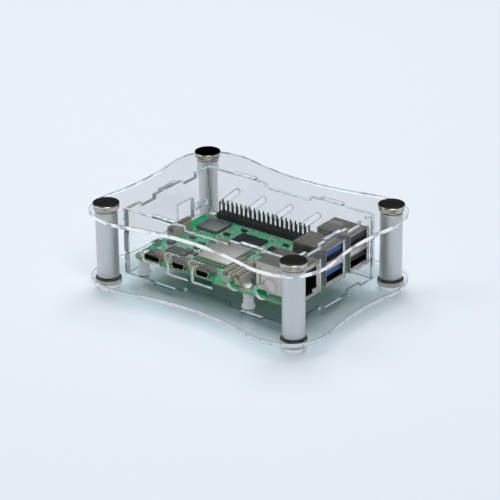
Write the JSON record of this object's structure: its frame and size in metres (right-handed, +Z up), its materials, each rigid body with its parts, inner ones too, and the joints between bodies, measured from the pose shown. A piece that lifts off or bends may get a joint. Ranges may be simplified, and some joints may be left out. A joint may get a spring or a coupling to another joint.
{
  "type": "single board computer in a clear case",
  "caption": "Single board computer on standoffs in a clear stacked-plate case with metal pillars, knurled thumb screws, feet, side walls with port cut-outs and a pin header.",
  "frame": {"origin": "on the table under the middle of the case", "axes": "+X towards the USB and network ports, +Y towards the pin header, +Z up"},
  "size_m": [0.1228, 0.0932, 0.0415],
  "materials": {
    "clear_acrylic": "polished, laser cut",
    "satin_aluminium": "satin anodised",
    "nickel": "plated, knurled",
    "black_inlay": "gloss",
    "foot_rubber": "matt",
    "screw_steel": "plated",
    "nylon": "natural, translucent",
    "green_mask": "solder mask",
    "substrate": "solder mask",
    "lid_metal": "matt nickel",
    "mould_black": "moulded",
    "shield_metal": "satin",
    "ferrite": "matt",
    "header_black": "moulded",
    "pin_gold": "flash plated",
    "shell_steel": "drawn",
    "cream_plastic": "moulded",
    "latch_brown": "moulded",
    "blue_plastic": "moulded",
    "led_lens": "clear",
    "white_plastic": "moulded"
  },
  "bodies": {
    "case": {"back_wall": "clear_acrylic", "base_screws": "screw_steel", "battery_connector": "cream_plastic", "board_screws": "screw_steel", "bottom_plate": "clear_acrylic", "camera_connector_left": "cream_plastic", "camera_connector_right": "cream_plastic", "card_slot": "shell_steel", "circuit_board": "green_mask", "expansion_connector": "cream_plastic", "fan_connector": "cream_plastic", "foot_pads": "foot_rubber", "foot_screws": "nickel", "front_wall": "clear_acrylic", "header_body": "header_black", "header_pins": "pin_gold", "inductors": "ferrite", "io_chip": "mould_black", "left_wall": "clear_acrylic", "memory_chip": "mould_black", "micro_hdmi_shell_left": "shell_steel", "micro_hdmi_shell_right": "shell_steel", "micro_hdmi_tongues": "mould_black", "network_insert": "mould_black", "network_power_header": "header_black", "network_power_pins": "pin_gold", "network_shell": "shell_steel", "pillar_back_left": "satin_aluminium", "pillar_back_right": "satin_aluminium", "pillar_front_left": "satin_aluminium", "pillar_front_right": "satin_aluminium", "power_button_housing": "shell_steel", "power_chip": "mould_black", "processor": "substrate", "processor_lid": "lid_metal", "right_wall": "clear_acrylic", "standoffs": "nylon", "status_led": "led_lens", "support_chips": "mould_black", "uart_connector": "cream_plastic", "usb2_shell": "shell_steel", "usb2_tongues": "mould_black", "usb3_shell": "shell_steel", "usb3_tongues": "blue_plastic", "usb_c_shell": "shell_steel", "usb_c_tongue": "mould_black", "wifi_shield": "shield_metal"},
    "lid": {"top_plate": "clear_acrylic"},
    "thumb_screw_front_left": {"thumb_screw_front_left": "nickel", "screw_inlay_front_left": "black_inlay"},
    "thumb_screw_front_right": {"thumb_screw_front_right": "nickel", "screw_inlay_front_right": "black_inlay"},
    "thumb_screw_back_left": {"thumb_screw_back_left": "nickel", "screw_inlay_back_left": "black_inlay"},
    "thumb_screw_back_right": {"thumb_screw_back_right": "nickel", "screw_inlay_back_right": "black_inlay"},
    "camera_latch_left": {"camera_latch_left": "latch_brown"},
    "camera_latch_right": {"camera_latch_right": "latch_brown"},
    "expansion_latch": {"expansion_latch": "latch_brown"},
    "power_button_plunger": {"power_button_plunger": "white_plastic"}
  },
  "joints": [
    {"name": "lid_lift", "type": "slide", "parent": "case", "child": "lid", "axis": [0, 0, 1], "range_m": [0, 0.035]},
    {"name": "turn_thumb_screw_front_left", "type": "hinge", "parent": "lid", "child": "thumb_screw_front_left", "pos_m": [-0.051, -0.036, 0.0395], "axis": [0, 0, 1], "continuous": true},
    {"name": "turn_thumb_screw_front_right", "type": "hinge", "parent": "lid", "child": "thumb_screw_front_right", "pos_m": [0.051, -0.036, 0.0395], "axis": [0, 0, 1], "continuous": true},
    {"name": "turn_thumb_screw_back_left", "type": "hinge", "parent": "lid", "child": "thumb_screw_back_left", "pos_m": [-0.051, 0.036, 0.0395], "axis": [0, 0, 1], "continuous": true},
    {"name": "turn_thumb_screw_back_right", "type": "hinge", "parent": "lid", "child": "thumb_screw_back_right", "pos_m": [0.051, 0.036, 0.0395], "axis": [0, 0, 1], "continuous": true},
    {"name": "lift_camera_latch_left", "type": "slide", "parent": "case", "child": "camera_latch_left", "axis": [0, 0, 1], "range_m": [0, 0.001]},
    {"name": "lift_camera_latch_right", "type": "slide", "parent": "case", "child": "camera_latch_right", "axis": [0, 0, 1], "range_m": [0, 0.001]},
    {"name": "lift_expansion_latch", "type": "slide", "parent": "case", "child": "expansion_latch", "axis": [0, 0, 1], "range_m": [0, 0.001]},
    {"name": "press_power_button", "type": "slide", "parent": "case", "child": "power_button_plunger", "axis": [1, 0, 0], "range_m": [0, 0.0003], "stiffness_N_per_m": 2000}
  ]
}
